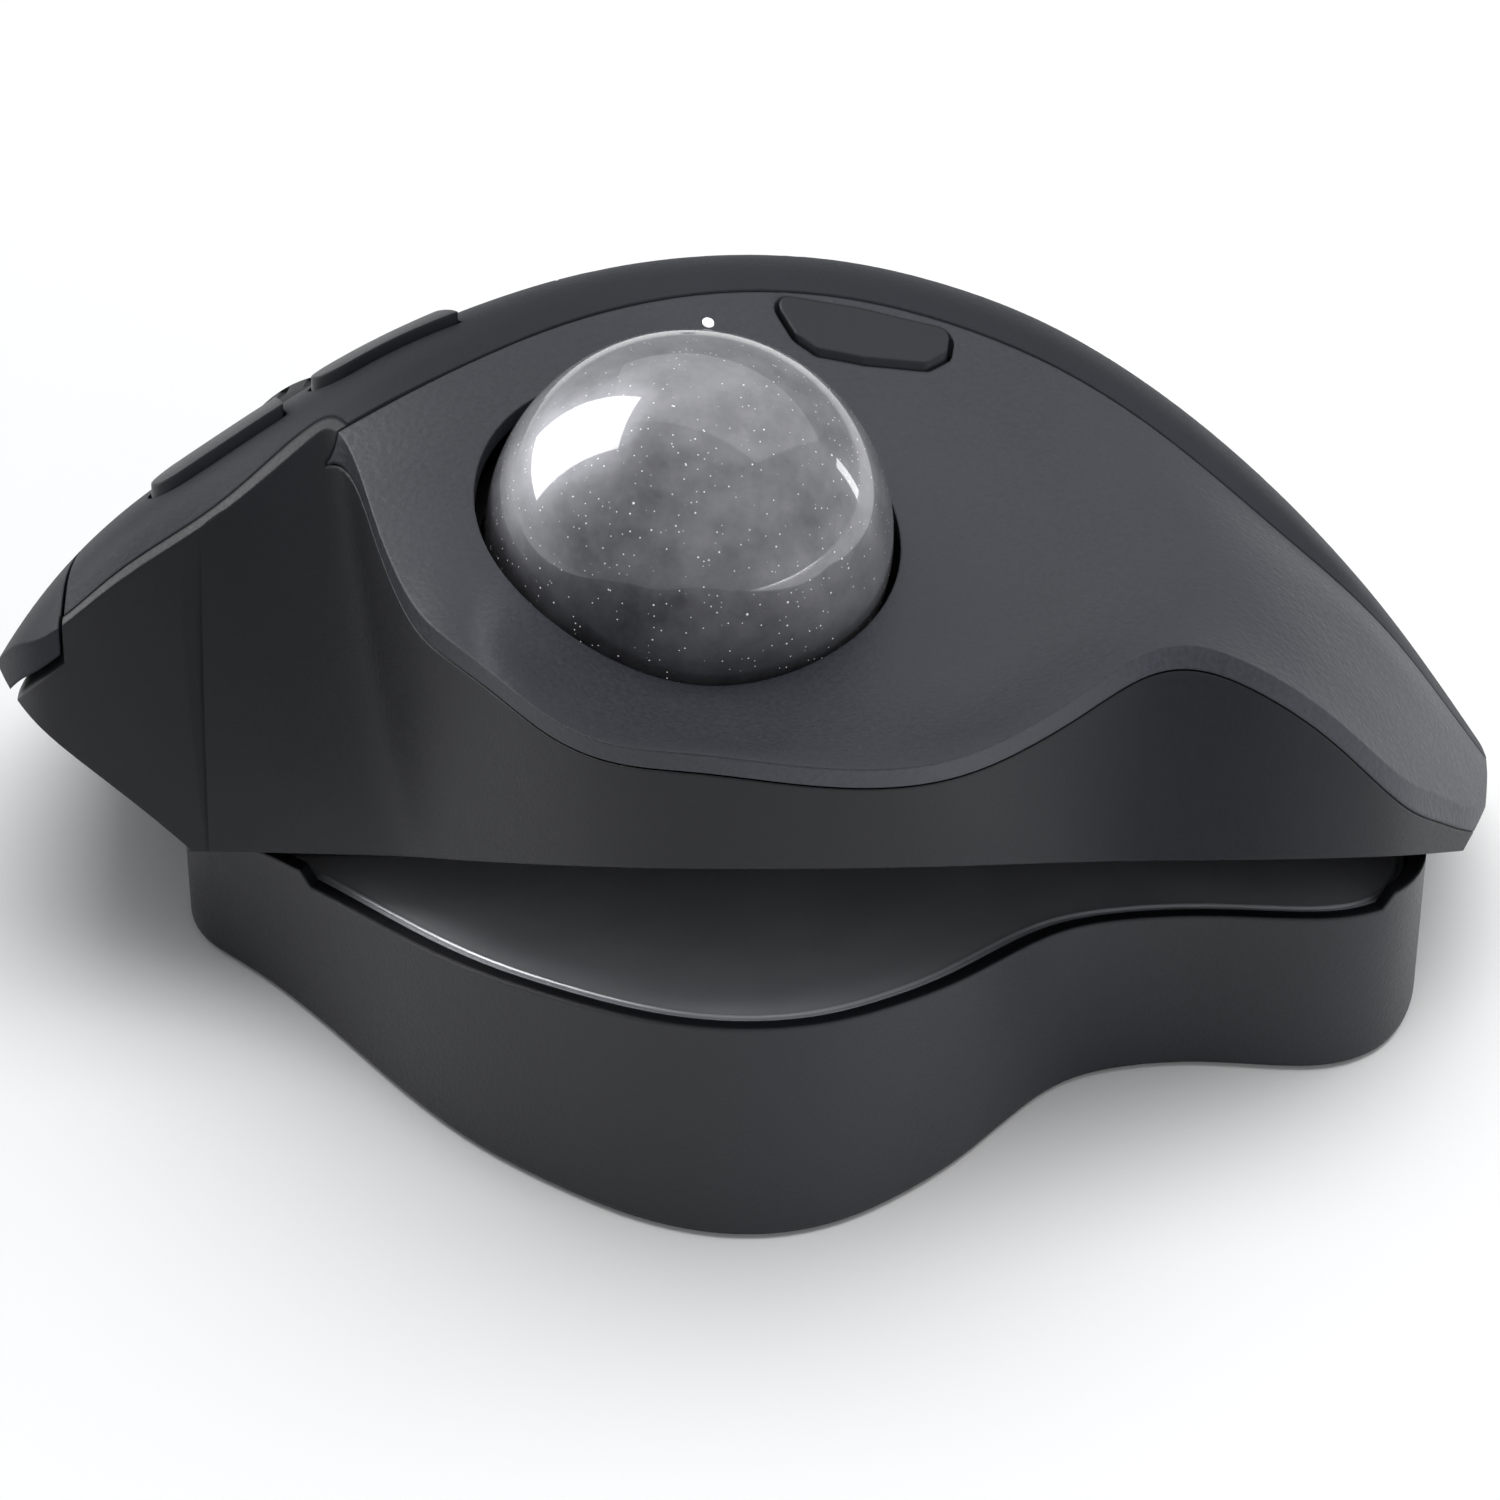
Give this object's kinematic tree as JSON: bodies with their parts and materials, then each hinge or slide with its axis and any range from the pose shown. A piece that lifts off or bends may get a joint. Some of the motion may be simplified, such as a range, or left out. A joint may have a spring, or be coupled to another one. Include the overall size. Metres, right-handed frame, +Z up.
{
  "type": "trackball mouse",
  "caption": "Right-handed thumb trackball mouse whose sculpted body rocks on a magnetic wedge base, with a rolling ball, click buttons and a scroll wheel.",
  "frame": {"origin": "centre of the object's box in plan, on the table under the foot pad, with the body leaning 20 degrees", "axes": "+X along the body from the buttons at -X to the palm at +X; -Y is the thumb side; +Z up"},
  "size_m": [0.1294, 0.095, 0.0596],
  "materials": {
    "top_plastic": "fine matte moulding",
    "thumb_plastic": "leather-like grain",
    "shell_plastic": "fine matte moulding",
    "key_plastic": "satin",
    "base_rubber": "soft-touch rubber coat",
    "pad_rubber": "non-slip pad",
    "tyre_rubber": "grooved",
    "plate_steel": "dark coat, bright edge",
    "pin_steel": "ground",
    "magnet_nickel": "nickel plate",
    "ball_resin": "pearl flakes under clear coat",
    "bead_ceramic": "polished ceramic",
    "light_clear": "frosted light pipe",
    "lens_clear": "clear",
    "board_fr4": "solder mask",
    "module_black": "moulded package",
    "cell_foil": "foil pouch",
    "port_steel": "tinned shell"
  },
  "bodies": {
    "base": {"base_tray": "base_rubber", "steel_plate": "plate_steel", "foot_pad": "pad_rubber"},
    "body": {"thumb_panel": "thumb_plastic", "lower_shell": "shell_plastic", "bottom_cover": "shell_plastic", "palm_cover": "top_plastic", "status_light": "light_clear", "ball_cup": "module_black", "sensor_lens": "lens_clear", "sensor_module": "module_black", "support_bead_1": "bead_ceramic", "support_bead_2": "bead_ceramic", "support_bead_3": "bead_ceramic", "front_board": "board_fr4", "main_board": "board_fr4", "battery": "cell_foil", "charging_port": "port_steel", "hatch_screws": "pin_steel", "left_switch": "module_black", "right_switch": "module_black", "magnet_front": "magnet_nickel", "magnet_rear": "magnet_nickel"},
    "left_click": {"left_button": "top_plastic"},
    "right_click": {"right_button": "top_plastic"},
    "left_plunger": {"left_plunger": "bead_ceramic"},
    "right_plunger": {"right_plunger": "bead_ceramic"},
    "back_key": {"back_button": "key_plastic"},
    "forward_key": {"forward_button": "key_plastic"},
    "mode_key": {"mode_button": "key_plastic"},
    "precision_key": {"precision_button": "key_plastic"},
    "ball_inner": {"ball_core": "ball_resin"},
    "ball_outer": {"ball": "ball_resin"},
    "wheel_tilt": {"wheel_cradle": "module_black"},
    "wheel_press": {"wheel_carrier": "module_black", "wheel_axle": "pin_steel"},
    "wheel": {"wheel_hub": "key_plastic", "wheel_tyre": "tyre_rubber"},
    "power": {"power_switch": "key_plastic"}
  },
  "joints": [
    {"name": "body_tilt", "type": "hinge", "parent": "base", "child": "body", "pos_m": [-0.00042, -0.00868, 0.013], "axis": [1, 0, 0], "range_deg": [0, 20]},
    {"name": "ball_roll", "type": "hinge", "parent": "body", "child": "ball_inner", "pos_m": [-0.00548, -0.00498, 0.0426], "axis": [1, 0, 0], "continuous": true},
    {"name": "ball_turn", "type": "hinge", "parent": "ball_inner", "child": "ball_outer", "pos_m": [-0.00548, -0.00498, 0.0426], "axis": [0, 0, 1], "continuous": true},
    {"name": "left_button_press", "type": "hinge", "parent": "body", "child": "left_click", "pos_m": [-0.01742, 0.02131, 0.03401], "axis": [0, -0.9397, 0.342], "range_deg": [0, 0.8], "stiffness_Nm_per_rad": 1.5},
    {"name": "right_button_press", "type": "hinge", "parent": "body", "child": "right_click", "pos_m": [-0.01742, 0.03712, 0.02187], "axis": [0, -0.9397, 0.342], "range_deg": [0, 0.8], "stiffness_Nm_per_rad": 1.5},
    {"name": "left_plunger_press", "type": "slide", "parent": "body", "child": "left_plunger", "axis": [0, -0.342, -0.9397], "range_m": [0, 0.00056]},
    {"name": "right_plunger_press", "type": "slide", "parent": "body", "child": "right_plunger", "axis": [0, -0.342, -0.9397], "range_m": [0, 0.00056]},
    {"name": "back_button_press", "type": "slide", "parent": "body", "child": "back_key", "axis": [0.2873, -0.3276, -0.9001], "range_m": [0, 0.0006], "stiffness_N_per_m": 800},
    {"name": "forward_button_press", "type": "slide", "parent": "body", "child": "forward_key", "axis": [0.3303, -0.3228, -0.8869], "range_m": [0, 0.0006], "stiffness_N_per_m": 800},
    {"name": "mode_button_press", "type": "slide", "parent": "body", "child": "mode_key", "axis": [0.3808, -0.4805, -0.79], "range_m": [0, 0.0005], "stiffness_N_per_m": 800},
    {"name": "precision_button_press", "type": "slide", "parent": "body", "child": "precision_key", "axis": [0, 0.2286, -0.9735], "range_m": [0, 0.0005], "stiffness_N_per_m": 800},
    {"name": "wheel_side_tilt", "type": "hinge", "parent": "body", "child": "wheel_tilt", "pos_m": [-0.03692, 0.02619, 0.0284], "axis": [1, 0, 0], "range_deg": [-3, 3], "stiffness_Nm_per_rad": 0.3},
    {"name": "wheel_click", "type": "slide", "parent": "wheel_tilt", "child": "wheel_press", "axis": [0, -0.342, -0.9397], "range_m": [0, 0.0006], "stiffness_N_per_m": 1200},
    {"name": "wheel_spin", "type": "hinge", "parent": "wheel_press", "child": "wheel", "pos_m": [-0.03692, 0.02585, 0.02746], "axis": [0, 0.9397, -0.342], "continuous": true},
    {"name": "power_slide", "type": "slide", "parent": "body", "child": "power", "axis": [1, 0, 0], "range_m": [0, 0.003]}
  ],
  "couplings": [
    {"joint": "left_plunger_press", "follows": "left_button_press", "m_per_rad": 0.0303},
    {"joint": "right_plunger_press", "follows": "right_button_press", "m_per_rad": 0.0303}
  ]
}
